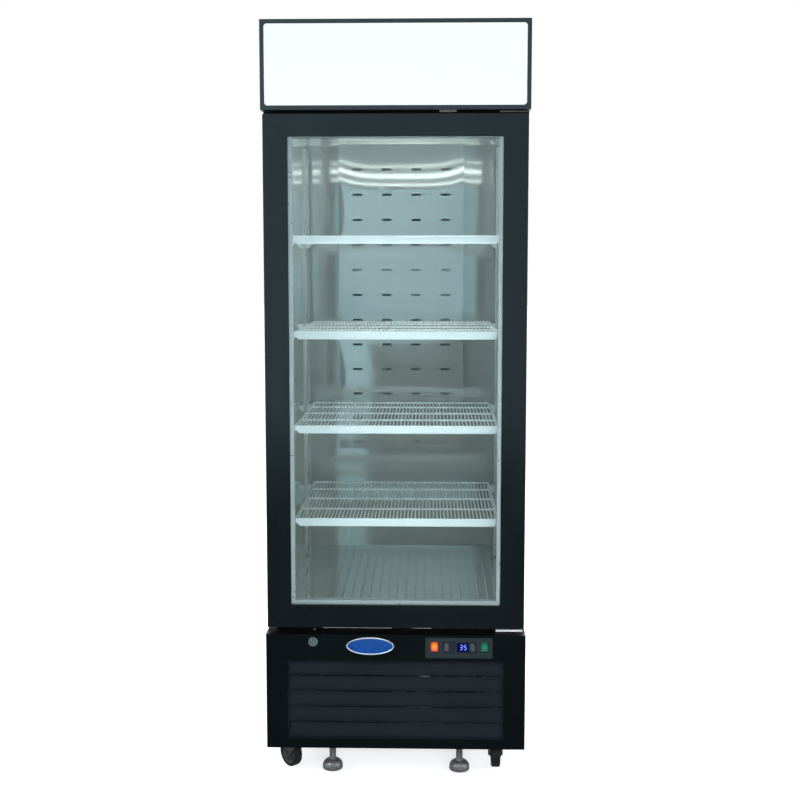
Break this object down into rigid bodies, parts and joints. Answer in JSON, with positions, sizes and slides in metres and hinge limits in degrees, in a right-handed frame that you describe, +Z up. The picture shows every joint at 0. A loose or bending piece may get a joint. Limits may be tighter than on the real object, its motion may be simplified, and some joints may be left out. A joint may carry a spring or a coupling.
{
  "type": "glass door merchandiser",
  "caption": "Upright refrigerated display cabinet with a hinged glass door, wire shelves, lit header box, louvred base front, controls, casters and levelling feet.",
  "frame": {"origin": "on the floor, under the middle of the cabinet's bounding box", "axes": "+Z up, -Y out of the door, +X to the right of someone facing the door"},
  "size_m": [0.686, 0.8, 1.992],
  "materials": {
    "case_steel": "satin black powder coat",
    "front_trim": "satin black",
    "foam": "rigid polyurethane foam",
    "liner": "brushed, slightly wavy sheet",
    "galvanised": "galvanised sheet",
    "grille": "dark slate, semi gloss",
    "header_case": "gloss black",
    "diffuser": "back-lit opal acrylic",
    "led": "lit opal lens",
    "fins": "bare fins",
    "dark_plastic": "moulded",
    "compressor_paint": "semi-gloss black",
    "shelf_wire": "white epoxy coat",
    "rail_plastic": "white extrusion",
    "door_frame": "gloss black extrusion",
    "glass": "clear double pane",
    "spacer": "satin aluminium spacer bar",
    "gasket": "soft magnetic seal",
    "bracket_steel": "zinc plated",
    "chrome": "polished",
    "bezel_plastic": "fine texture",
    "switch_orange": "translucent, lit amber",
    "switch_green": "translucent green",
    "display": "smoked window",
    "key_plastic": "soft touch",
    "badge": "domed blue",
    "wheel_rubber": "grey-black tread on nylon hub",
    "foot_metal": "zinc grey",
    "screw": "plated"
  },
  "bodies": {
    "cabinet": {"side_panels": "case_steel", "roof_panel": "case_steel", "rear_panel": "case_steel", "foam_insulation": "foam", "liner_panels": "liner", "front_frame": "front_trim", "machine_frame": "galvanised", "rear_grille": "case_steel", "base_front_panel": "case_steel", "louver_grille": "grille", "cable_inlet": "dark_plastic", "header_housing": "header_case", "header_diffuser": "diffuser", "led_strips": "led", "air_duct_panel": "liner", "evaporator_coil": "fins", "fan_motors": "dark_plastic", "condenser_coil": "fins", "compressor": "compressor_paint", "drain_pan": "dark_plastic", "shelf_pilasters": "galvanised", "shelf_clips": "rail_plastic", "shelf_1": "shelf_wire", "shelf_2": "shelf_wire", "shelf_3": "shelf_wire", "shelf_4": "shelf_wire", "shelf_front_rails": "rail_plastic", "hinge_bracket_top": "bracket_steel", "hinge_bracket_bottom": "bracket_steel", "door_switch_strap": "bracket_steel", "lock_body": "chrome", "control_bezel": "bezel_plastic", "thermostat": "display", "badge_blank": "badge", "caster_plates": "bracket_steel", "rear_caster_brackets": "bracket_steel", "panel_screws": "screw"},
    "door": {"door_stiles": "door_frame", "door_rails": "door_frame", "glass_outer": "glass", "glass_inner": "glass", "glass_spacer": "spacer", "door_gasket": "gasket", "torsion_closer": "bracket_steel"},
    "lock_plug": {"lock_plug": "chrome"},
    "lock_bolt": {"lock_bolt": "bracket_steel"},
    "light_switch": {"light_switch": "switch_orange"},
    "power_switch": {"power_switch": "switch_green"},
    "key_left": {"thermostat_key_left": "key_plastic"},
    "key_right": {"thermostat_key_right": "key_plastic"},
    "evaporator_fan": {"evaporator_fan_blade": "dark_plastic"},
    "condenser_fan": {"condenser_fan_blade": "dark_plastic"},
    "fork_left": {"caster_fork_left": "bracket_steel"},
    "fork_right": {"caster_fork_right": "bracket_steel"},
    "wheel_front_left": {"wheel_front_left": "wheel_rubber"},
    "wheel_front_right": {"wheel_front_right": "wheel_rubber"},
    "wheel_rear_left": {"wheel_rear_left": "wheel_rubber"},
    "wheel_rear_right": {"wheel_rear_right": "wheel_rubber"},
    "foot_left": {"levelling_foot_left": "foot_metal"},
    "foot_right": {"levelling_foot_right": "foot_metal"}
  },
  "joints": [
    {"name": "door_swing", "type": "hinge", "parent": "cabinet", "child": "door", "pos_m": [0.322, -0.382, 1.09], "axis": [0, 0, 1], "range_deg": [0, 115], "stiffness_Nm_per_rad": 1.2, "springref_deg": -14.32},
    {"name": "lock_turn", "type": "hinge", "parent": "cabinet", "child": "lock_plug", "pos_m": [-0.218, -0.385, 0.383], "axis": [0, -1, 0], "range_deg": [0, 90]},
    {"name": "lock_bolt_lift", "type": "slide", "parent": "cabinet", "child": "lock_bolt", "axis": [0, 0, 1], "range_m": [0, 0.026]},
    {"name": "light_switch_rock", "type": "hinge", "parent": "cabinet", "child": "light_switch", "pos_m": [0.103, -0.389, 0.371], "axis": [1, 0, 0], "range_deg": [0, 16]},
    {"name": "power_switch_rock", "type": "hinge", "parent": "cabinet", "child": "power_switch", "pos_m": [0.235, -0.389, 0.371], "axis": [1, 0, 0], "range_deg": [0, 16]},
    {"name": "key_left_press", "type": "slide", "parent": "cabinet", "child": "key_left", "axis": [0, 1, 0], "range_m": [0, 0.001], "stiffness_N_per_m": 400},
    {"name": "key_right_press", "type": "slide", "parent": "cabinet", "child": "key_right", "axis": [0, 1, 0], "range_m": [0, 0.001], "stiffness_N_per_m": 400},
    {"name": "evaporator_fan_spin", "type": "hinge", "parent": "cabinet", "child": "evaporator_fan", "pos_m": [0, 0.3, 1.5], "axis": [0, 1, 0], "continuous": true},
    {"name": "condenser_fan_spin", "type": "hinge", "parent": "cabinet", "child": "condenser_fan", "pos_m": [-0.04, -0.19, 0.207], "axis": [0, 1, 0], "continuous": true},
    {"name": "caster_swivel_left", "type": "hinge", "parent": "cabinet", "child": "fork_left", "pos_m": [-0.272, -0.318, 0.09], "axis": [0, 0, 1], "continuous": true},
    {"name": "caster_swivel_right", "type": "hinge", "parent": "cabinet", "child": "fork_right", "pos_m": [0.272, -0.318, 0.09], "axis": [0, 0, 1], "continuous": true},
    {"name": "wheel_spin_front_left", "type": "hinge", "parent": "fork_left", "child": "wheel_front_left", "pos_m": [-0.29074, -0.29719, 0.0375], "axis": [0.7431, 0.6691, 0], "continuous": true},
    {"name": "wheel_spin_front_right", "type": "hinge", "parent": "fork_right", "child": "wheel_front_right", "pos_m": [0.272, -0.29, 0.0375], "axis": [1, 0, 0], "continuous": true},
    {"name": "wheel_spin_rear_left", "type": "hinge", "parent": "cabinet", "child": "wheel_rear_left", "pos_m": [-0.272, 0.318, 0.0375], "axis": [1, 0, 0], "continuous": true},
    {"name": "wheel_spin_rear_right", "type": "hinge", "parent": "cabinet", "child": "wheel_rear_right", "pos_m": [0.272, 0.318, 0.0375], "axis": [1, 0, 0], "continuous": true},
    {"name": "foot_left_screw", "type": "slide", "parent": "cabinet", "child": "foot_left", "axis": [0, 0, 1], "range_m": [-0.019, 0.006]},
    {"name": "foot_right_screw", "type": "slide", "parent": "cabinet", "child": "foot_right", "axis": [0, 0, 1], "range_m": [-0.019, 0.006]}
  ],
  "couplings": [
    {"joint": "lock_turn", "follows": "lock_bolt_lift", "rad_per_m": 60.4}
  ]
}
